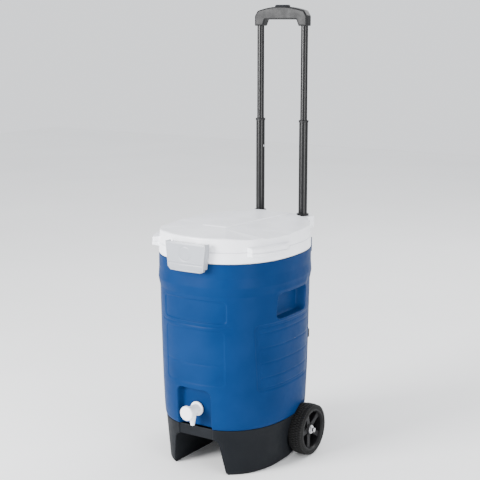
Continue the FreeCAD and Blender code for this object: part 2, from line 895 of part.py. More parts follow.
def grip():
    x = size("tube_half_spacing")
    y = size("tube_y")
    low = size("grip_bottom")
    top = size("grip_top")
    outer = x + 11.5
    inner = x - 11.5
    under = low + 15
    crown = top - 14
    corner = outer - 8
    arch = Part.Arc(Vector(-corner, 0, crown + 4), Vector(0, 0, top), Vector(corner, 0, crown + 4))
    arch = arch.toShape()
    outline = [
        Part.makePolygon([Vector(corner, 0, crown + 4), Vector(outer, 0, crown - 8), Vector(outer, 0, low)]),
        Part.makePolygon([Vector(outer, 0, low), Vector(inner, 0, low), Vector(inner - 6, 0, under)]),
        Part.makePolygon([Vector(inner - 6, 0, under), Vector(-inner + 6, 0, under), Vector(-inner, 0, low)]),
        Part.makePolygon([Vector(-inner, 0, low), Vector(-outer, 0, low), Vector(-outer, 0, crown - 8)]),
        Part.makePolygon([Vector(-outer, 0, crown - 8), Vector(-corner, 0, crown + 4)]),
    ]
    edges = [arch]
    for piece in outline:
        edges.extend(piece.Edges)
    face = Part.Face(Part.Wire(Part.__sortEdges__(edges)))
    face.translate(Vector(0, y - 12, 0))
    body = face.extrude(Vector(0, 24, 0))
    long_edges = [e for e in body.Edges if e.BoundBox.YLength < 0.1]
    body = body.makeFillet(3.5, long_edges)
    sockets = both_sides(rod_z(size("upper_radius"), (low - 1, low + 10), x, y))
    rod_holes = both_sides(rod_z(2.6, (low + 9, low + 22), x, y))
    yoke_room = block((-66, 66), (y - 5, y + 5), (low + 18, low + 28))
    button_room = block((-17.6, 17.6), (y - 7.1, y + 7.1), (low + 25, top + 10))
    return body.cut(sockets).cut(rod_holes).cut(yoke_room).cut(button_room)


def release_button():
    y = size("tube_y")
    low = size("grip_bottom")
    top = size("grip_top") + 4
    cap = rounded_block((-17.5, 17.5), (y - 7, y + 7), (low + 29, top), 4, Vector(0, 1, 0))
    yoke = block((-64.5, 64.5), (y - 4.7, y + 4.7), (low + 22.6, low + 27.4))
    neck = block((-12, 12), (y - 4.7, y + 4.7), (low + 27, low + 31))
    return cap.fuse(yoke).fuse(neck)


def release_rods():
    low = size("grip_bottom")
    rod = rod_z(2, (709, low + 22.6), size("tube_half_spacing"), size("tube_y"))
    return Part.makeCompound(list(mirrored(rod)))


def build_handle():
    spacing = size("tube_half_spacing")
    y = size("tube_y")
    for side, word in ((-1, "left"), (1, "right")):
        sleeve = bound_tube(
            "sleeve_" + word,
            "Dimensions.sleeve_radius",
            "Dimensions.sleeve_bore",
            "Dimensions.sleeve_length",
            (side * spacing, y, size("sleeve_bottom")),
        )
        sub_part(sleeve, "handle_sleeve_" + word)
        feature("middle_tube_" + word, middle_tube(side), (side * spacing, y, 0))
        upper = bound_tube(
            "upper_" + word,
            "Dimensions.upper_radius",
            "Dimensions.upper_bore",
            "Dimensions.upper_length",
            (side * spacing, y, size("upper_bottom")),
        )
        sub_part(upper, "upper_tube_" + word)
    feature("sleeve_collars", handle_bush(size("middle_radius") + 0.08, 11.85, 15, size("tower_top"), 22))
    middle_top = size("middle_bottom") + size("middle_length")
    feature("middle_tube_collars", handle_bush(size("upper_radius") + 0.08, 9.45, 12, middle_top, 16))
    middle_feet = tube_feet(size("sleeve_bore") - 0.08, 9.45, size("middle_bottom"), 3)
    feature("middle_tube_feet", Part.makeCompound(list(mirrored(middle_feet))))
    upper_feet = tube_feet(size("middle_bore") - 0.08, 7.15, size("upper_bottom"), 4)
    feature("upper_tube_feet", Part.makeCompound(list(mirrored(upper_feet))))
    sleeve_caps = tube_feet(size("sleeve_radius"), size("sleeve_bore") - 0.05, size("sleeve_bottom"), 8)
    feature("sleeve_end_caps", Part.makeCompound(list(mirrored(sleeve_caps))))
    feature("sleeve_bracket", sleeve_bracket())
    feature("bracket_screws", bracket_screws())
    feature("snap_buttons", snap_buttons())
    feature("grip", grip())
    feature("release_button", release_button())
    feature("release_rods", release_rods())
    spring_seat = (0, y, size("grip_bottom") + 18.4)
    feature("release_spring", coil(3.6, 0.35, spring_seat, 1.6, 2.4, (0, 0, 1)))


def build_wheels():
    axle = bound_cylinder(
        "axle",
        "Dimensions.axle_radius",
        "2 * Dimensions.axle_half_length",
        (-size("axle_half_length"), size("axle_y"), size("wheel_radius")),
        (1, 0, 0),
    )
    sub_part(axle, "axle_rod")
    wheel_pair(wheel_hub, "wheel_hub")
    wheel_pair(tyre, "tyre")
    feature("axle_washers", axle_washers())
    feature("push_nuts", push_nuts())


def build_spigot():
    height = size("spigot_height")
    face = size("niche_face_y")
    feature("spigot_body", spigot_body())
    feature("spigot_outer_washer", spigot_ring(16, (face - 2.5, face)))
    feature("spigot_inner_washer", spigot_ring(17, (-135.8, -133.1)))
    feature("spigot_nut", spigot_nut())
    stem = rod_y(size("stem_radius"), (size("button_front_y") + 4, -143), 0, height)
    feature("valve_stem", stem.fuse(rod_y(5, (-145.8, -143.8), 0, height)))
    seal = rod_y(7.5, (-148.8, -145.9), 0, height)
    feature("valve_seal", seal.cut(rod_y(size("stem_radius"), (-150, -140), 0, height)))
    spring_start = (0, size("spring_seat_y") - 0.7, height)
    feature("valve_spring", coil(6, 0.5, spring_start, 1.95, 6, (0, -1, 0)))
    feature("spigot_button", spigot_button())


def build_lid():
    feature("lid_shell", lid_shell())
    feature("lid_liner", lid_liner())
    feature("lid_foam", lid_foam())
    feature("lid_gasket", lid_gasket())
    pins = []
    for name, start in (("hinge_pin_right", 53), ("hinge_pin_left", -97)):
        pins.append(
            bound_cylinder(
                name,
                "Dimensions.hinge_pin_radius",
                "Dimensions.ear_width + 26",
                (start, size("hinge_y"), size("hinge_z")),
                (1, 0, 0),
            )
        )
    sub_part(bound_group("hinge_pin_group", pins), "hinge_pins")
    feature("latch", latch())
    latch_pin = bound_cylinder(
        "latch_rod",
        "Dimensions.latch_pin_radius",
        "2 * Dimensions.latch_half_width - 8",
        (4 - size("latch_half_width"), size("latch_pin_y"), size("latch_pin_z")),
        (1, 0, 0),
    )
    sub_part(latch_pin, "latch_pin")


def build_tank():
    feature("outer_shell", outer_shell())
    feature("insulation_foam", insulation())
    feature("inner_liner", inner_liner())
    feature("rim_ring", rim_ring())
    feature("rear_tower", rear_tower())
    feature("base_skid", base_skid())
    feature("base_screws", base_screws())


build_tank()
build_lid()
build_spigot()
build_wheels()
build_handle()
doc.recompute()

for item in doc.Objects:
    if "Invalid" in item.State or "Error" in item.State:
        raise RuntimeError(f"{item.Label} failed: {item.State}")

os.makedirs("parts", exist_ok=True)
for item in sub_parts:
    if item.Shape.isNull() or not item.Shape.isValid():
        raise RuntimeError(f"{item.Label} has no valid shape")
    item.Shape.exportStep(os.path.join("parts", item.Label + ".step"))
    print(item.Label, "solids", len(item.Shape.Solids), "cm3", round(item.Shape.Volume / 1000.0, 2))
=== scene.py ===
import json
import math

import bmesh
import bpy
import numpy as np
from mathutils import Matrix, Vector


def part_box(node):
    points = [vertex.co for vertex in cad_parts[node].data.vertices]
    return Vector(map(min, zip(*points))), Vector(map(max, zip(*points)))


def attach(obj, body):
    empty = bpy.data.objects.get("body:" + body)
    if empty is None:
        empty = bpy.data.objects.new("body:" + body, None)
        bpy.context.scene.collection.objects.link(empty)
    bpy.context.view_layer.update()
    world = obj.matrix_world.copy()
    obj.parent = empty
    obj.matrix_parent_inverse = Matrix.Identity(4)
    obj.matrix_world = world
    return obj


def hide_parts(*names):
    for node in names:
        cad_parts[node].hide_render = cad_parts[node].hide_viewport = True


# A wheeled beverage cooler.  The mouldings are built here with their real curves, lips and fillets,
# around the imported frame; tubes, pins, washers and screws keep their own shapes.  Metres throughout.

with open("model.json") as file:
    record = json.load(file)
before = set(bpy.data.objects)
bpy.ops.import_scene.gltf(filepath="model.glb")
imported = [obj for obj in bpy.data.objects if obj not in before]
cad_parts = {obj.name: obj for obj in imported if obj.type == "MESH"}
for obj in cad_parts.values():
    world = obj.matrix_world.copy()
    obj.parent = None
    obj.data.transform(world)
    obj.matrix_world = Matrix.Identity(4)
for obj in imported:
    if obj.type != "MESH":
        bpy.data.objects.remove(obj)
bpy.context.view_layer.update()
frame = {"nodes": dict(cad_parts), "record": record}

MM = 0.001
PLAN_EXPONENT = 2.36
COLUMNS = 960


# ---------------------------------------------------------------- curves and masks


def smooth(low, high, value):
    """0 below low, 1 above high, and a smooth rise between."""
    share = np.clip((value - low) / (high - low), 0.0, 1.0)
    return share * share * (3.0 - 2.0 * share)


def rounded_rectangle(u, v, half_u, half_v, radius):
    """Signed distance to a rounded rectangle centred on zero, negative inside."""
    du = np.abs(u) - half_u + radius
    dv = np.abs(v) - half_v + radius
    outside = np.hypot(np.maximum(du, 0.0), np.maximum(dv, 0.0))
    return outside + np.minimum(np.maximum(du, dv), 0.0) - radius


def inside_mask(distance, softness):
    """1 inside a signed distance, 0 outside, with an edge as wide as softness."""
    return 1.0 - smooth(-softness / 2, softness / 2, distance)


def groove(distance, width, depth):
    """A rounded groove along distance = 0."""
    return depth * np.exp(-((distance / (width / 2)) ** 2))


def plan_radius(turn, half_width, half_depth):
    """Distance from the middle to the cooler's plan outline, a superellipse."""
    across = np.abs(np.cos(turn)) / half_width
    along = np.abs(np.sin(turn)) / half_depth
    return (across**PLAN_EXPONENT + along**PLAN_EXPONENT) ** (-1.0 / PLAN_EXPONENT)


def block_radius(turn, half_width, back, corner):
    """Distance from the middle to a block that stands out at the back; 0 towards the front."""
    x = np.cos(turn)
    y = np.maximum(np.sin(turn), 1e-6)
    power = 2.0 + corner
    radius = ((np.abs(x) / half_width) ** power + (y / back) ** power) ** (-1.0 / power)
    return np.where(np.sin(turn) > 0.2, radius, 0.0)


def soft_max(first, second, blend):
    """The larger of two lengths, with a fillet where they meet."""
    lift = np.maximum(blend - np.abs(first - second), 0.0) / blend
    return np.maximum(first, second) + lift * lift * blend / 4.0


# ---------------------------------------------------------------- meshes


def new_object(name, vertices, faces):
    mesh = bpy.data.meshes.new(name)
    mesh.from_pydata([tuple(v) for v in vertices], [], faces)
    mesh.validate()
    piece = bpy.data.objects.new(name, mesh)
    bpy.context.scene.collection.objects.link(piece)
    return piece


def around(radius, height):
    """One row of points round the cooler, at the radii and heights given for TURNS."""
    heights = np.broadcast_to(height, TURNS.shape)
    return np.stack([radius * np.cos(TURNS), radius * np.sin(TURNS), heights], -1)


def shade_smooth(piece):
    for polygon in piece.data.polygons:
        polygon.use_smooth = True


def lattice(name, grid, close_rows=False):
    """A surface through a grid of points whose columns run round the object."""
    rows, columns, _ = grid.shape
    numbers = np.arange(rows * columns).reshape(rows, columns)
    upper = np.roll(numbers, -1, axis=0) if close_rows else numbers[1:]
    lower = numbers if close_rows else numbers[:-1]
    faces = np.stack(
        [lower, np.roll(lower, -1, axis=1), np.roll(upper, -1, axis=1), upper], axis=-1
    )
    piece = new_object(name, grid.reshape(-1, 3), faces.reshape(-1, 4).tolist())
    shade_smooth(piece)
    return piece


def add_modifier(piece, kind, **settings):
    modifier = piece.modifiers.new(kind.lower(), kind)
    for setting, value in settings.items():
        setattr(modifier, setting, value)
    return modifier


def apply_modifiers(piece):
    """Turns a piece's modifiers into its mesh."""
    graph = bpy.context.evaluated_depsgraph_get()
    mesh = bpy.data.meshes.new_from_object(piece.evaluated_get(graph))
    piece.modifiers.clear()
    piece.data = mesh


def carve(piece, cutter, operation="DIFFERENCE"):
    """Cuts one closed mesh from another, or joins them."""
    modifier = add_modifier(piece, "BOOLEAN", operation=operation, solver="MANIFOLD")
    modifier.object = cutter
    apply_modifiers(piece)
    bpy.data.objects.remove(cutter)


def carve_sleeve_holes(piece, low, high):
    """Opens a piece for the two handle sleeves, between two heights."""
    for side in (-1, 1):
        cutter = new_object("sleeve_hole", [], [])
        place = Matrix.Translation((side * 0.061, 0.204, (low + high) / 2))
        shape = bmesh.new()
        bmesh.ops.create_cone(
            shape, cap_ends=True, segments=96, radius1=0.0131, radius2=0.0131, depth=high - low, matrix=place
        )
        shape.to_mesh(cutter.data)
        shape.free()
        carve(piece, cutter)


def moulded_copy(node, voxel, passes):
    """A copy of a frame node with the soft edges of a moulding."""
    piece = frame["nodes"][node].copy()
    piece.data = piece.data.copy()
    piece.name = node + "_moulded"
    bpy.context.scene.collection.objects.link(piece)
    add_modifier(piece, "REMESH", mode="VOXEL", voxel_size=voxel, use_smooth_shade=True)
    add_modifier(piece, "SMOOTH", factor=0.5, iterations=passes)
    apply_modifiers(piece)
    shade_smooth(piece)
    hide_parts(node)
    return piece


def box_mesh(name, low, high, bevel=0.0, segments=4):
    """A box between two corners with rounded edges."""
    mesh = bpy.data.meshes.new(name)
    piece = bpy.data.objects.new(name, mesh)
    bpy.context.scene.collection.objects.link(piece)
    shape = bmesh.new()
    bmesh.ops.create_cube(shape, size=1.0)
    middle = (Vector(low) + Vector(high)) / 2
    extent = Vector(high) - Vector(low)
    for vertex in shape.verts:
        vertex.co = middle + Vector([vertex.co[i] * extent[i] for i in range(3)])
    if bevel:
        bmesh.ops.bevel(
            shape, geom=shape.edges[:], offset=bevel, segments=segments, profile=0.5, affect="EDGES"
        )
    shape.to_mesh(mesh)
    shape.free()
    shade_smooth(piece)
    return piece


def lathe(name, profile, axis_point, axis, steps=64):
    """A solid of revolution: profile holds (radius, distance along the axis) pairs."""
    turn = Vector((0, 0, 1)).rotation_difference(Vector(axis)).to_matrix()
    rings = []
    for radius, distance in profile:
        ring = []
        for step in range(steps):
            angle = 2 * math.pi * step / steps
            spot = Vector((radius * math.cos(angle), radius * math.sin(angle), distance))
            ring.append(Vector(axis_point) + turn @ spot)
        rings.append(ring)
    return lattice(name, np.array(rings), close_rows=True)


def rounded_profile(points, radius, steps=5):
    """A closed profile of (radius, distance) points with rounded corners."""
    result = []
    count = len(points)
    for index in range(count):
        corner = Vector(points[index])
        before = Vector(points[index - 1]) - corner
        after = Vector(points[(index + 1) % count]) - corner
        reach = min(radius, before.length * 0.45, after.length * 0.45)
        start = corner + before.normalized() * reach
        end = corner + after.normalized() * reach
        for step in range(steps + 1):
            share = step / steps
            a = start.lerp(corner, share)
            b = corner.lerp(end, share)
            result.append(tuple(a.lerp(b, share)))
    return result


def join(name, pieces):
    """Several pieces as one object."""
    vertices = []
    faces = []
    for piece in pieces:
        start = len(vertices)
        vertices.extend(tuple(v.co) for v in piece.data.vertices)
        faces.extend([start + i for i in polygon.vertices] for polygon in piece.data.polygons)
        bpy.data.objects.remove(piece)
    joined = new_object(name, vertices, faces)
    shade_smooth(joined)
    return joined


# ---------------------------------------------------------------- materials


def nodes_for(name):
    material = bpy.data.materials.new(name)
    material.use_nodes = True
    tree = material.node_tree
    shader = next(n for n in tree.nodes if n.type == "BSDF_PRINCIPLED")
    return material, tree, shader


def noise(tree, scale, detail=4.0, roughness=0.5):
    place = tree.nodes.new("ShaderNodeTexCoord")
    texture = tree.nodes.new("ShaderNodeTexNoise")
    texture.inputs["Scale"].default_value = scale
    texture.inputs["Detail"].default_value = detail
    texture.inputs["Roughness"].default_value = roughness
    tree.links.new(place.outputs["Object"], texture.inputs["Vector"])
    return texture.outputs["Fac"]


def spread(tree, value, low, high):
    """Maps the middle of a noise value to a range."""
    node = tree.nodes.new("ShaderNodeMapRange")
    node.inputs["From Min"].default_value = 0.3
    node.inputs["From Max"].default_value = 0.7
    node.inputs["To Min"].default_value = low
    node.inputs["To Max"].default_value = high
    tree.links.new(value, node.inputs["Value"])
    return node.outputs["Result"]


def mixed(tree, share, first, second):
    node = tree.nodes.new("ShaderNodeMix")
    node.data_type = "RGBA"
    tree.links.new(share, node.inputs["Factor"])
    for socket, value in ((node.inputs["A"], first), (node.inputs["B"], second)):
        if hasattr(value, "links"):
            tree.links.new(value, socket)
        else:
            socket.default_value = (*value, 1.0)
    return node.outputs["Result"]


def edge_wear(tree, low=0.52, high=0.62):
    """1 on worn outer edges, 0 elsewhere."""
    geometry = tree.nodes.new("ShaderNodeNewGeometry")
    node = tree.nodes.new("ShaderNodeMapRange")
    node.inputs["From Min"].default_value = low
    node.inputs["From Max"].default_value = high
    tree.links.new(geometry.outputs["Pointiness"], node.inputs["Value"])
    return node.outputs["Result"]


def plastic(name, colour, roughness, grain, grain_scale, wear=0.0, coat=0.0, gloss=0.5, patchy=0.06):
    """A moulded plastic: cloudy colour, fine mould grain, uneven sheen and paler worn edges."""
    material, tree, shader = nodes_for(name)
    darker = [c * 0.93 for c in colour]
    paler = [min(1.0, c * 1.05 + 0.002) for c in colour]
    cloud = mixed(tree, spread(tree, noise(tree, 14.0), 0.0, 1.0), darker, paler)
    worn = [min(1.0, c + (0.9 - c) * wear) for c in colour]
    shown = mixed(tree, edge_wear(tree), cloud, worn)
    tree.links.new(shown, shader.inputs["Base Color"])
    sheen = spread(tree, noise(tree, 60.0, 6.0, 0.6), roughness - patchy, roughness + patchy)
    tree.links.new(sheen, shader.inputs["Roughness"])
    bump = tree.nodes.new("ShaderNodeBump")
    bump.inputs["Strength"].default_value = 0.5
    bump.inputs["Distance"].default_value = grain
    tree.links.new(noise(tree, grain_scale, 3.0), bump.inputs["Height"])
    tree.links.new(bump.outputs["Normal"], shader.inputs["Normal"])
    shader.inputs["Coat Weight"].default_value = coat
    shader.inputs["Coat Roughness"].default_value = 0.2
    shader.inputs["Specular IOR Level"].default_value = gloss
    return material


def metal(name, colour, roughness, brushed=400.0):
    """A drawn or turned metal with fine lines and dull patches."""
    material, tree, shader = nodes_for(name)
    darker = [c * 0.8 for c in colour]
    shown = mixed(tree, spread(tree, noise(tree, 40.0, 6.0), 0.0, 1.0), darker, colour)
    tree.links.new(shown, shader.inputs["Base Color"])
    shader.inputs["Metallic"].default_value = 1.0
    lines = spread(tree, noise(tree, brushed, 8.0, 0.7), roughness - 0.08, roughness + 0.12)
    tree.links.new(lines, shader.inputs["Roughness"])
    bump = tree.nodes.new("ShaderNodeBump")
    bump.inputs["Strength"].default_value = 0.3
    bump.inputs["Distance"].default_value = 0.00002
    tree.links.new(noise(tree, brushed * 3, 4.0), bump.inputs["Height"])
    tree.links.new(bump.outputs["Normal"], shader.inputs["Normal"])
    return material


def foam_material():
    """Cut insulating foam, cream and full of small cells."""
    material, tree, shader = nodes_for("foam_cells")
    place = tree.nodes.new("ShaderNodeTexCoord")
    cells = tree.nodes.new("ShaderNodeTexVoronoi")
    cells.inputs["Scale"].default_value = 500.0
    tree.links.new(place.outputs["Object"], cells.inputs["Vector"])
    shown = mixed(tree, cells.outputs["Distance"], (0.62, 0.52, 0.30), (0.86, 0.78, 0.56))
    tree.links.new(shown, shader.inputs["Base Color"])
    shader.inputs["Roughness"].default_value = 0.95
    bump = tree.nodes.new("ShaderNodeBump")
    bump.inputs["Distance"].default_value = 0.0004
    tree.links.new(cells.outputs["Distance"], bump.inputs["Height"])
    tree.links.new(bump.outputs["Normal"], shader.inputs["Normal"])
    return material


def make_materials():
    return {
        "blue_plastic": plastic("blue_moulding", (0.0, 0.019, 0.080), 0.46, 0.00004, 900.0, 0.01, 0.0, 0.05),
        "white_plastic": plastic("white_moulding", (0.80, 0.81, 0.85), 0.36, 0.00002, 1500.0, 0.0),
        "tank_plastic": plastic("tank_moulding", (0.78, 0.80, 0.83), 0.45, 0.00002, 1200.0, 0.0),
        "charcoal_plastic": plastic("charcoal_moulding", (0.004, 0.005, 0.0067), 0.55, 0.00006, 900.0, 0.01, 0.0, 0.08),
        "black_plastic": plastic("black_moulding", (0.003, 0.003, 0.0036), 0.45, 0.00004, 1400.0, 0.02, 0.0, 0.2),
        "black_tube": plastic("black_tube_paint", (0.002, 0.002, 0.0024), 0.3, 0.00001, 2500.0, 0.0, 0.0, 0.25, 0.015),
        "silver_plastic": plastic("silver_moulding", (0.27, 0.285, 0.315), 0.36, 0.00003, 2200.0, 0.1, 0.1, 0.4),
        "tyre_rubber": plastic("tyre_rubber", (0.003, 0.003, 0.003), 0.6, 0.00012, 700.0, 0.02, 0.0, 0.15),
        "seal_rubber": plastic("seal_rubber", (0.01, 0.01, 0.011), 0.7, 0.00006, 900.0, 0.0, 0.0, 0.2),
        "steel": metal("bright_steel", (0.74, 0.74, 0.75), 0.26),
        "foam": foam_material(),
    }


LINER_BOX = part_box("inner_liner")
TANK_Y = (LINER_BOX[0].y + LINER_BOX[1].y) / 2


def tank_box(node):
    """A node's box, measured from the tank's middle."""
    low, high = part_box(node)
    shift = Vector((0, TANK_Y, 0))
    return low - shift, high - shift


MATERIALS = make_materials()
NODE_SLOT = {row["node"]: row["material_slot"] for row in frame["record"]["subparts"]}


def finish_piece(piece, body, slot, shift=True):
    """Moves a piece from the tank's middle to the frame; gives it its material and its CAD body."""
    if shift:
        piece.data.transform(Matrix.Translation((0, TANK_Y, 0)))
    piece.data.materials.clear()
    piece.data.materials.append(MATERIALS[slot])
    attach(piece, body)
    return piece


# ---------------------------------------------------------------- shared sizes from the frame

SHELL_LOW, SHELL_HIGH = tank_box("outer_shell")
RIM_LOW, RIM_HIGH = tank_box("rim_ring")
LID_LOW, LID_HIGH = tank_box("lid_shell")
TYRE_LOW, TYRE_HIGH = tank_box("tyre_right")
LINER_HIGH = tank_box("inner_liner")[1]
HALF_WIDTH = 159 * MM
HALF_DEPTH = 187 * MM
TURNS = np.linspace(0, 2 * math.pi, COLUMNS, endpoint=False)
AXLE_Y = (TYRE_LOW.y + TYRE_HIGH.y) / 2
AXLE_Z = (TYRE_LOW.z + TYRE_HIGH.z) / 2


# ---------------------------------------------------------------- outer shell

PROFILE_HEIGHTS = [0.109, 0.116, 0.135, 0.200, 0.320, 0.420, 0.431, 0.440, 0.450, 0.462, 0.494]
PROFILE_SHARES = [0.930, 0.943, 0.951, 0.966, 0.981, 0.990, 1.004, 1.012, 1.008, 1.003, 1.003]


def shell_rows():
    """Heights of the shell's rows, closer together where its recesses have their edges."""
    heights = set(np.round(np.arange(SHELL_LOW.z + 0.004, SHELL_HIGH.z, 0.0016), 5))
    for edge in (0.109, 0.202, 0.345, 0.358, 0.417, 0.458, 0.494):
        heights.update(np.round(np.arange(edge - 0.005, edge + 0.005, 0.0006), 5))
    kept = sorted(z for z in heights if SHELL_LOW.z <= z <= SHELL_HIGH.z)
    return np.array([SHELL_LOW.z] + kept + [SHELL_HIGH.z])


def outer_shell():
    heights = shell_rows()
    z, turn = np.meshgrid(heights, TURNS, indexing="ij")
    share = np.interp(z, PROFILE_HEIGHTS, PROFILE_SHARES)
    radius = plan_radius(turn, HALF_WIDTH, HALF_DEPTH) * share
    x = radius * np.cos(turn)
    y = radius * np.sin(turn)
    side = smooth(0.5, 0.62, np.abs(np.cos(turn)))
    front = smooth(0.35, 0.5, -np.sin(turn))

    # side panel below the pocket: a shallow field with a front border and four ribs across it
    slant = (0.355 - z) * 0.07
    field = rounded_rectangle(np.abs(y) + slant, z - 0.274, 0.122, 0.078, 0.009)
    radius -= side * 0.0018 * inside_mask(field, 0.004)
    radius -= side * groove(field + 0.007, 0.0030, 0.0007)
    for height in (0.332, 0.297, 0.262, 0.227):
        line = np.where(field < -0.010, z - height, 1.0)
        radius -= side * groove(line, 0.0035, 0.0011)

    # front field: a raised band with an arched top, a line below it and a faint lower field
    arch = 0.411 - 0.4 * x * x
    band = rounded_rectangle(x, z - (0.360 + arch) / 2, 0.083, (arch - 0.360) / 2, 0.008)
    radius -= front * 0.0018 * inside_mask(band, 0.003)
    under = np.where(np.abs(x) < 0.093, z - 0.351, 1.0)
    radius -= front * groove(under, 0.004, 0.0011)
    lower = rounded_rectangle(x, z - 0.278, 0.078, 0.064, 0.010)
    radius -= front * 0.0009 * inside_mask(lower, 0.004)
    radius -= front * groove(np.where(lower < 0, z - 0.262, 1.0), 0.005, 0.0007)

    # housing for the handle at the back
    housing = block_radius(turn, 91 * MM, SHELL_HIGH.y, 10.0)
    housing_share = smooth(0.455, 0.4615, z)
    block = soft_max(radius, housing, 0.012)
    radius = radius + (block - radius) * housing_share

    # carry pockets, with a lip over each
    lean = y - (z - 0.39) * 0.10
    pocket = rounded_rectangle(lean, z - 0.3875, 0.062, 0.0295, 0.013)
    lip = np.exp(-(((z - 0.423) / 0.007) ** 2)) * inside_mask(np.abs(y) - 0.066, 0.02)
    radius += side * 0.0022 * lip
    floor_radius = 0.1315 / np.maximum(np.abs(np.cos(turn)), 0.3)
    ramp = smooth(0.372, 0.352, z) * 0.012
    pocket_floor = np.minimum(floor_radius + ramp, radius)
    mask = side * inside_mask(pocket + 0.0012, np.where(z > 0.40, 0.0026, 0.0045))
    radius = radius + (pocket_floor - radius) * mask

    # recess for the spigot
    recess = rounded_rectangle(x, z - 0.130, 0.046, 0.072, 0.016)
    recess_radius = 0.158 / np.maximum(-np.sin(turn), 0.3)
    mask = smooth(0.3, 0.4, -np.sin(turn)) * inside_mask(recess + 0.001, 0.0030)
    radius = radius + (np.minimum(recess_radius, radius) - radius) * mask

    # wheel wells
    x = radius * np.cos(turn)
    y = radius * np.sin(turn)
    well = np.hypot(y - AXLE_Y, z - AXLE_Z) - 0.067
    well_radius = 0.1315 / np.maximum(np.abs(np.cos(turn)), 0.3)
    mask = smooth(0.3, 0.4, np.abs(np.cos(turn))) * inside_mask(well, 0.004)
    radius = radius + (np.minimum(well_radius, radius) - radius) * mask

    # a small round at the lower edge
    edge = np.clip((SHELL_LOW.z + 0.003 - z) / 0.003, 0, 1)
    radius -= 0.003 * (1 - np.sqrt(np.clip(1 - edge**2, 0, 1)))
    grid = np.stack([radius * np.cos(turn), radius * np.sin(turn), z], axis=-1)
    floor = [grid[0] * (s, s, 1) for s in (0.02, 0.5, 0.9, 0.97)]
    grid = np.concatenate([np.array(floor), grid])
    shell = lattice("outer_shell_blue", grid)
    cap = bmesh.new()
    cap.from_mesh(shell.data)
    cap.verts.ensure_lookup_table()
    cap.faces.new([cap.verts[i] for i in reversed(range(COLUMNS))])
    cap.to_mesh(shell.data)
    cap.free()
    add_modifier(shell, "SOLIDIFY", thickness=2.2 * MM, offset=-1.0, use_even_offset=False)
    apply_modifiers(shell)
    shade_smooth(shell)
    carve_sleeve_holes(shell, 0.40, 0.52)
    shade_smooth(shell)
    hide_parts("outer_shell")
    return finish_piece(shell, "cooler", "blue_plastic")


# ---------------------------------------------------------------- rim ring and tabs


def tab_share(turn, start=-48.0, end=-10.0):
    """How far a finger tab stands out at each turn, on both sides of the front."""
    degrees = np.degrees(np.arctan2(np.sin(turn), np.abs(np.cos(turn))))
    return smooth(start - 1.2, start + 1.6, degrees) * (1 - smooth(end - 9.0, end + 4.0, degrees))


def rim_ring():
    low = RIM_LOW.z
    high = RIM_HIGH.z
    mouth_width = LINER_HIGH.x - 9 * MM
    mouth_depth = LINER_HIGH.y - 9 * MM
    outer = plan_radius(TURNS, HALF_WIDTH, HALF_DEPTH)
    shelf = block_radius(TURNS, 87 * MM, RIM_HIGH.y, 10.0)
    outer = soft_max(outer, shelf, 0.010)
    inner = plan_radius(TURNS, mouth_width, mouth_depth)
    rows = []
    for place, height in rim_section(low, high):
        tab = tab_share(TURNS) * smooth(high - 0.0115, high - 0.008, height) * 0.016
        round_off = 0.0015 * smooth(high - 0.003, high, height) * tab_share(TURNS)
        edge = outer + tab - round_off
        radius = inner + (edge - inner) * place[0] + place[1]
        rows.append(around(radius, height))
    ring = lattice("rim_ring_white", np.array(rows), close_rows=True)
    catch = box_mesh("catch", (-28 * MM, -192.2 * MM, 497 * MM), (28 * MM, -184 * MM, 502 * MM), 1 * MM)
    ring = join("rim_ring_white", [ring, catch])
    carve_sleeve_holes(ring, 0.48, 0.53)
    shade_by_angle(ring, 40)
    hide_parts("rim_ring")
    return finish_piece(ring, "cooler", "white_plastic")


def rim_section(low, high):
    """The ring's cross-section: ((share outwards, offset), height), rounded at its corners."""
    rows = []
    corner = 0.004
    for step in range(7):
        angle = math.pi / 2 * step / 6
        rows.append(((1.0, -corner * (1 - math.sin(angle))), low + corner * (1 - math.cos(angle))))
    for height in np.linspace(low + 0.006, high - 0.012, 6):
        rows.append(((1.0, 0.0), height))
    for height in np.linspace(high - 0.0115, high - 0.0025, 10):
        rows.append(((1.0, 0.0), height))
    for step in range(7):
        angle = math.pi / 2 * step / 6
        rows.append(((1.0, -0.002 * (1 - math.cos(angle))), high - 0.002 * (1 - math.sin(angle))))
    for share in (0.9, 0.5, 0.1):
        rows.append(((share, 0.0), high))
    for step in range(5):
        angle = math.pi / 2 * step / 4
        rows.append(((0.0, 0.003 * (1 - math.sin(angle))), high - 0.003 * (1 - math.cos(angle))))
    rows.append(((0.0, 0.0), low + 0.001))
    rows.append(((0.0, 0.001), low))
    rows.append(((0.5, 0.0), low))
    return rows


# ---------------------------------------------------------------- lid


def lid_fall(x, y):
    """How far the lid's upper surface lies below its raised middle: two wings and an apron."""
    side = np.abs(x)
    behind = smooth(-0.100, -0.082, y)
    wing = np.maximum(side - (0.031 + (y + 0.085) * 0.093), 0.0) * behind
    front = np.maximum(-0.090 + 0.35 * x * x - y, 0.0)
    corner = np.maximum(0.61 * (side - 0.031) - 0.793 * (y + 0.085), 0.0)
    apron = soft_max(0.105 * front, 0.125 * corner, 0.002) - 0.0005
    step = 0.0022 * smooth(0.0, 0.003, wing)
    flat_wing = 0.1 * (side - 0.031) - 0.009 * (y + 0.085)
    deepest = np.maximum(np.maximum(flat_wing, 0.075 * (-0.090 - y)), 0.0) + 0.0008
    return np.minimum(0.072 * wing + np.maximum(apron, 0.0) + step, deepest)


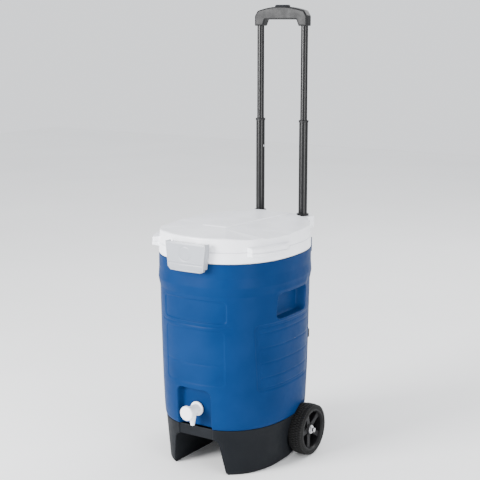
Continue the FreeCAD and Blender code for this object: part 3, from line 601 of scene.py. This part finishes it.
def lid_height(x, y, inset):
    """Height of the lid's upper side at a place that lies inset from its outline."""
    reach = 0.018
    drop = 0.013
    across = np.clip(1.0 - inset / reach, 0.0, 1.0)
    round_off = drop * (1.0 - np.sqrt(1.0 - across**2))
    raised = 1.0 - smooth(-0.001, 0.002, np.abs(x) - (0.031 + (y + 0.085) * 0.093))
    raised = raised * smooth(-0.001, 0.002, y - (-0.090 + 0.35 * x * x))
    raised = raised * smooth(0.012, 0.020, inset)
    crown = 0.0025 * np.maximum(1.0 - (x / 0.15) ** 2 - (y / 0.18) ** 2, 0.0)
    return LID_HIGH.z + 0.0017 * raised + crown - soft_max(lid_fall(x, y), round_off, 0.004)


def lid_shell():
    low = LID_LOW.z
    width = HALF_WIDTH - 1 * MM
    depth = HALF_DEPTH - 1 * MM
    outline = plan_radius(TURNS, width, depth)
    tab = tab_share(TURNS) * 0.016
    rows = []
    for share in np.concatenate([[0.004], np.linspace(0.03, 0.85, 80)]):
        radius = outline * share
        x = radius * np.cos(TURNS)
        y = radius * np.sin(TURNS)
        rows.append(np.stack([x, y, lid_height(x, y, outline - radius)], -1))
    start = outline * 0.15
    for step in range(1, 31):
        inset = start * (1 - math.sin(math.pi / 2 * step / 30))
        radius = outline - 0.0012 - inset
        x = radius * np.cos(TURNS)
        y = radius * np.sin(TURNS)
        rows.append(np.stack([x, y, lid_height(x, y, inset)], -1))
    wall_top = rows[-1][:, 2]
    tab_top = low + 0.0095
    for height in np.linspace(0.99, 0.0, 10):
        z = tab_top + 0.002 + (wall_top - tab_top - 0.002) * height
        radius = outline - 0.0012 * height
        rows.append(around(radius, z))
    for step in range(1, 9):
        share = step / 8
        grow = smooth(0.0, 1.0, np.array(share))
        radius = outline + tab * grow
        z = tab_top + 0.002 - 0.0035 * share**3
        rows.append(around(radius, z))
    for z in np.linspace(tab_top - 0.003, low + 0.001, 6):
        radius = outline + tab
        rows.append(around(radius, z))
    for inset, z in ((0.001, low), (0.0025, low), (0.0045, low + 0.001), (0.005, low + 0.01)):
        radius = outline + tab * (1 if inset < 0.003 else 0) - inset
        rows.append(around(radius, z))
    under = rows[-1]
    for share in (0.8, 0.4, 0.004):
        rows.append(np.stack([under[:, 0] * share, under[:, 1] * share, under[:, 2] + 0.012], -1))
    lid = lattice("lid_shell_white", np.array(rows))
    close_ends(lid, COLUMNS)
    for side in (-1, 1):
        centre = side * 0.075
        carve(lid, box_mesh("ear_gap", (centre - 0.0095, 0.160, 0.5), (centre + 0.0095, 0.230, 0.6)))
    for radius, low_z, high_z in ((0.0204, 0.45, 0.541), (0.0174, 0.541, 0.65)):
        profile = [(radius, -0.2), (radius, 0.2), (0.06, 0.2), (0.06, -0.2)]
        trim = lathe("trim", profile, (0, 0.172, 0.541), (1, 0, 0), 96)
        keep = box_mesh("keep", (-0.3, 0.172, low_z), (0.3, 0.3, high_z))
        carve(trim, keep, "INTERSECT")
        carve(lid, trim)
    shade_by_angle(lid, 40)
    extras = []
    for side in (-1, 1):
        for start, end in ((0.0515, 0.0655), (0.0845, 0.0985)):
            width = end - start
            corners = [(0.0031, 0), (0.008, 0), (0.008, width), (0.0031, width)]
            profile = rounded_profile(corners, 0.0008)
            place = side * start if side > 0 else side * end
            extras.append(lathe("knuckle", profile, (place, 0.172, 0.541), (1, 0, 0), 48))
        centre = side * 0.025
        lug_low = (centre - 0.006, -0.1995, 0.5297)
        extras.append(box_mesh("lug", lug_low, (centre + 0.006, -0.182, 0.5383), 0.002))
    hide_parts("lid_shell")
    finish_piece(lid, "lid", "white_plastic")
    for number, extra in enumerate(extras):
        extra.name = f"lid_boss_{number}"
        finish_piece(extra, "lid", "white_plastic")
    return lid


def close_ends(piece, columns):
    """Closes a lattice's first and last rows with a face each."""
    shape = bmesh.new()
    shape.from_mesh(piece.data)
    shape.verts.ensure_lookup_table()
    count = len(shape.verts)
    shape.faces.new([shape.verts[i] for i in reversed(range(columns))])
    shape.faces.new([shape.verts[count - columns + i] for i in range(columns)])
    bmesh.ops.recalc_face_normals(shape, faces=shape.faces[:])
    shape.to_mesh(piece.data)
    shape.free()


def shade_by_angle(piece, degrees):
    """Smooth shading that keeps edges sharper than an angle."""
    shade_smooth(piece)
    shape = bmesh.new()
    shape.from_mesh(piece.data)
    limit = math.radians(degrees)
    for edge in shape.edges:
        if len(edge.link_faces) == 2 and edge.calc_face_angle(0.0) > limit:
            edge.smooth = False
    shape.to_mesh(piece.data)
    shape.free()


# ---------------------------------------------------------------- latch


def latch():
    """The silver lever: convex face, rolled top, a crease above its lower lip and grip ribs."""
    low, high = tank_box("latch")
    half_top = high.x
    columns = 61
    heights = np.linspace(low.z, high.z, 60)
    bow = 0.0022
    front = low.y
    points = []
    for z in heights:
        share = (z - low.z) / (high.z - low.z)
        half = 0.046 + (half_top - 0.046) * share
        corner = 0.008
        if z < low.z + corner:
            lift = (low.z + corner - z) / corner
            half -= corner * (1 - math.sqrt(max(0.0, 1 - lift * lift)))
        if z > high.z - corner:
            lift = (z - high.z + corner) / corner
            half -= corner * (1 - math.sqrt(max(0.0, 1 - lift * lift)))
        row = []
        for column in range(columns):
            u = -1 + 2 * column / (columns - 1)
            x = half * u
            y = front + bow * u * u
            y += 0.0022 * smooth(low.z + 0.016, low.z, np.array(z))
            y += 0.0014 * math.exp(-(((z - low.z - 0.0175) / 0.0014) ** 2))
            y += 0.0010 * float(smooth(high.z - 0.007, high.z, np.array(z))) ** 2
            drop = math.hypot(x / 0.016, (z - (low.z + 0.040)) / 0.016)
            y += 0.0009 * math.exp(-(((drop - 1.0) / 0.07) ** 2))
            if drop < 0.8:
                y += 0.0006 * (0.5 - 0.5 * math.cos(x / 0.0042 * 2 * math.pi)) * (1 - drop / 0.8) ** 0.3
            row.append((x, y, z))
        points.append(row)
    grid = np.array(points)
    faces = []
    vertices = grid.reshape(-1, 3).tolist()
    for row in range(len(heights) - 1):
        for column in range(columns - 1):
            start = row * columns + column
            faces.append([start, start + 1, start + columns + 1, start + columns])
    face = new_object("latch_face", vertices, faces)
    add_modifier(face, "SOLIDIFY", thickness=2.8 * MM, offset=-1.0)
    apply_modifiers(face)
    shade_by_angle(face, 50)
    back = high.y
    sides = []
    for side in (-1, 1):
        side_low = 0.046 + (half_top - 0.046) * 0.12
        wall = box_mesh(
            "latch_side", (0, front + 0.0015, low.z + 0.007), (0.0032, back, high.z - 0.001), 0.0008, 2
        )
        for vertex in wall.data.vertices:
            share = (vertex.co.z - low.z) / (high.z - low.z)
            offset = side_low + (half_top - side_low) * share - 0.0036
            vertex.co.x = side * (vertex.co.x + offset)
        sides.append(wall)
    sides.append(
        box_mesh("latch_foot", (-0.041, front + 0.002, low.z + 0.0005), (0.041, back, low.z + 0.0036), 0.001, 2)
    )
    sides.append(box_mesh("latch_hook", (-0.026, front + 0.002, 0.489), (0.026, -0.1926, 0.495), 0.001, 2))
    piece = join("latch_silver", [face] + sides)
    shape = bmesh.new()
    shape.from_mesh(piece.data)
    bmesh.ops.recalc_face_normals(shape, faces=shape.faces[:])
    shape.to_mesh(piece.data)
    shape.free()
    shade_by_angle(piece, 45)
    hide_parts("latch")
    return finish_piece(piece, "latch_lever", "silver_plastic")


# ---------------------------------------------------------------- wheels


def tyre(node, body):
    """A solid tyre with rows of small tread blocks and rounded shoulders."""
    low, high = tank_box(node)
    centre_x = (low.x + high.x) / 2
    half = (high.x - low.x) / 2
    radius = (high.z - low.z) / 2
    inner = 0.0502
    profile = [(inner, -half + 0.001), (inner, half - 0.001)]
    profile += [(inner + 0.001, half)]
    for step in range(8):
        angle = math.pi / 2 * step / 7
        profile.append((radius - 0.0082 + 0.006 * math.sin(angle), half - 0.006 * (1 - math.cos(angle))))
    for step in range(8):
        angle = math.pi / 2 * (1 - step / 7)
        profile.append((radius - 0.0082 + 0.006 * math.sin(angle), -half + 0.006 * (1 - math.cos(angle))))
    profile += [(inner + 0.001, -half)]
    ring = lathe("tyre_ring", profile, (centre_x, AXLE_Y, AXLE_Z), (1, 0, 0), 160)
    count = 62
    template = box_mesh("tread_block", (-0.0042, -0.0021, 0.0), (0.0042, 0.0021, 0.0030), 0.0006, 2)
    places = [v.co.copy() for v in template.data.vertices]
    shapes = [list(p.vertices) for p in template.data.polygons]
    bpy.data.objects.remove(template)
    vertices = []
    faces = []
    for row, offset in enumerate((-0.0125, -0.0042, 0.0042, 0.0125)):
        for number in range(count):
            angle = 2 * math.pi * (number + 0.5 * (row % 2)) / count
            start = len(vertices)
            crown = radius - 0.0030 - (0.0012 if abs(offset) > 0.01 else 0.0)
            for place in places:
                reach = crown + place.z
                turn = angle + place.y / radius
                vertices.append(
                    (
                        centre_x + place.x + offset,
                        AXLE_Y + reach * math.sin(turn),
                        AXLE_Z + reach * math.cos(turn),
                    )
                )
            faces.extend([start + i for i in shape] for shape in shapes)
    tread = new_object("tread", vertices, faces)
    piece = join(node + "_treaded", [ring, tread])
    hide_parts(node)
    return finish_piece(piece, body, "tyre_rubber")


def wheel_centre(side, node, body):
    """A five-spoke wheel centre with a dished rim, webbed spokes and a stepped boss."""
    tyre_low, tyre_high = tank_box(node.replace("wheel_hub", "tyre"))
    half = (tyre_high.x - tyre_low.x) / 2
    centre_x = (tyre_low.x + tyre_high.x) / 2
    axis = (side, 0, 0)
    rim = lathe(
        "rim",
        rounded_profile([(0.050, -half + 0.0005), (0.050, half - 0.0005), (0.0465, half - 0.0005),
                         (0.0435, half - 0.006), (0.0425, 0.0), (0.0435, -half + 0.001)], 0.0012),
        (centre_x, AXLE_Y, AXLE_Z), axis, 128,
    )
    boss_end = 0.166 - abs(centre_x)
    boss_start = 0.1343 - abs(centre_x)
    boss = lathe(
        "boss",
        rounded_profile([(0.0051, boss_start), (0.0135, boss_start), (0.0145, boss_end - 0.004),
                         (0.0125, boss_end), (0.0051, boss_end)], 0.001),
        (centre_x, AXLE_Y, AXLE_Z), axis, 72,
    )
    parts = [rim, boss]
    for number in range(5):
        angle = math.radians(72 * number + 22)
        spoke = box_mesh("spoke", (-0.5, -0.5, 0.0), (0.5, 0.5, 1.0), 0.0)
        shape = bmesh.new()
        shape.from_mesh(spoke.data)
        bmesh.ops.subdivide_edges(shape, edges=shape.edges[:], cuts=3, use_grid_fill=True)
        for vertex in shape.verts:
            share = vertex.co.z
            reach = 0.011 + 0.034 * share
            half_wide = 0.0075 - 0.0015 * math.sin(math.pi * share)
            thick_out = boss_end - 0.003 + 0.004 * share
            thick_in = boss_end - 0.019
            along = thick_in + (thick_out - thick_in) * (vertex.co.x + 0.5)
            sideways = vertex.co.y * 2 * half_wide
            y = sideways * math.cos(angle) - reach * math.sin(angle)
            z = sideways * math.sin(angle) + reach * math.cos(angle)
            vertex.co = Vector((centre_x + side * along, AXLE_Y + y, AXLE_Z + z))
        shape.to_mesh(spoke.data)
        shape.free()
        add_modifier(spoke, "BEVEL", width=0.0014, segments=3, limit_method="ANGLE")
        apply_modifiers(spoke)
        parts.append(spoke)
    piece = join(node + "_spoked", parts)
    shape = bmesh.new()
    shape.from_mesh(piece.data)
    bmesh.ops.recalc_face_normals(shape, faces=shape.faces[:])
    shape.to_mesh(piece.data)
    shape.free()
    shade_by_angle(piece, 40)
    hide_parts(node)
    return finish_piece(piece, body, "black_plastic")


# ---------------------------------------------------------------- the rest


def moulded_nodes():
    """Frame nodes that only need soft edges."""
    for node, body, voxel, passes in (
        ("base_skid", "cooler", 0.0013, 4),
        ("rear_tower", "cooler", 0.0009, 4),
        ("grip", "handle_upper", 0.0008, 24),
        ("release_button", "release", 0.0006, 3),
        ("spigot_body", "cooler", 0.0005, 3),
        ("spigot_button", "tap_valve", 0.0005, 3),
        ("sleeve_bracket", "cooler", 0.0009, 4),
        ("spigot_nut", "cooler", 0.0006, 3),
    ):
        piece = moulded_copy(node, voxel, passes)
        finish_piece(piece, body, NODE_SLOT[node], shift=False)


def kept_nodes():
    """Frame nodes that keep their own shape get the full materials."""
    for node, thing in frame["nodes"].items():
        thing.data.materials.clear()
        thing.data.materials.append(MATERIALS[NODE_SLOT[node]])


# ---------------------------------------------------------------- stage


def studio():
    floor = new_object("floor", [(-6, -6, 0), (6, -6, 0), (6, 6, 0), (-6, 6, 0)], [[0, 1, 2, 3]])
    material, tree, shader = nodes_for("pale_floor")
    shown = mixed(tree, spread(tree, noise(tree, 1.5), 0.0, 1.0), (0.92, 0.92, 0.92), (0.96, 0.96, 0.96))
    tree.links.new(shown, shader.inputs["Base Color"])
    shader.inputs["Roughness"].default_value = 0.6
    floor.data.materials.append(material)
    world = bpy.data.worlds.new("studio")
    bpy.context.scene.world = world
    world.use_nodes = True
    world.node_tree.nodes["Background"].inputs["Color"].default_value = (0.95, 0.97, 1.0, 1.0)
    world.node_tree.nodes["Background"].inputs["Strength"].default_value = 1.35
    for name, place, size, power in (
        ("key", (-1.4, -2.9, 1.3), 1.4, 300.0),
        ("fill", (2.8, -1.2, 0.7), 1.4, 80.0),
        ("back", (0.6, 2.6, 2.6), 1.6, 60.0),
    ):
        light = bpy.data.lights.new(name, "AREA")
        light.size = size
        light.energy = power
        lamp = bpy.data.objects.new(name, light)
        lamp.location = place
        aim = Vector((0, 0, 0.45)) - Vector(place)
        lamp.rotation_euler = aim.to_track_quat("-Z", "Y").to_euler()
        bpy.context.scene.collection.objects.link(lamp)


def camera():
    """The photograph's viewing angle: to the right of the front, a little above the lid."""
    data = bpy.data.cameras.new("camera")
    data.sensor_width = 36.0
    data.lens = 84.65
    view = bpy.data.objects.new("camera", data)
    view.location = (1.412, -2.159 + TANK_Y, 1.018)
    view.rotation_euler = (math.radians(90 - 11.07), 0.0, math.radians(32.98))
    bpy.context.scene.collection.objects.link(view)
    bpy.context.scene.camera = view


kept_nodes()
outer_shell()
rim_ring()
lid_shell()
latch()
for side, word in ((1, "right"), (-1, "left")):
    tyre("tyre_" + word, "wheel_" + word)
    wheel_centre(side, "wheel_hub_" + word, "wheel_" + word)
moulded_nodes()
studio()
camera()
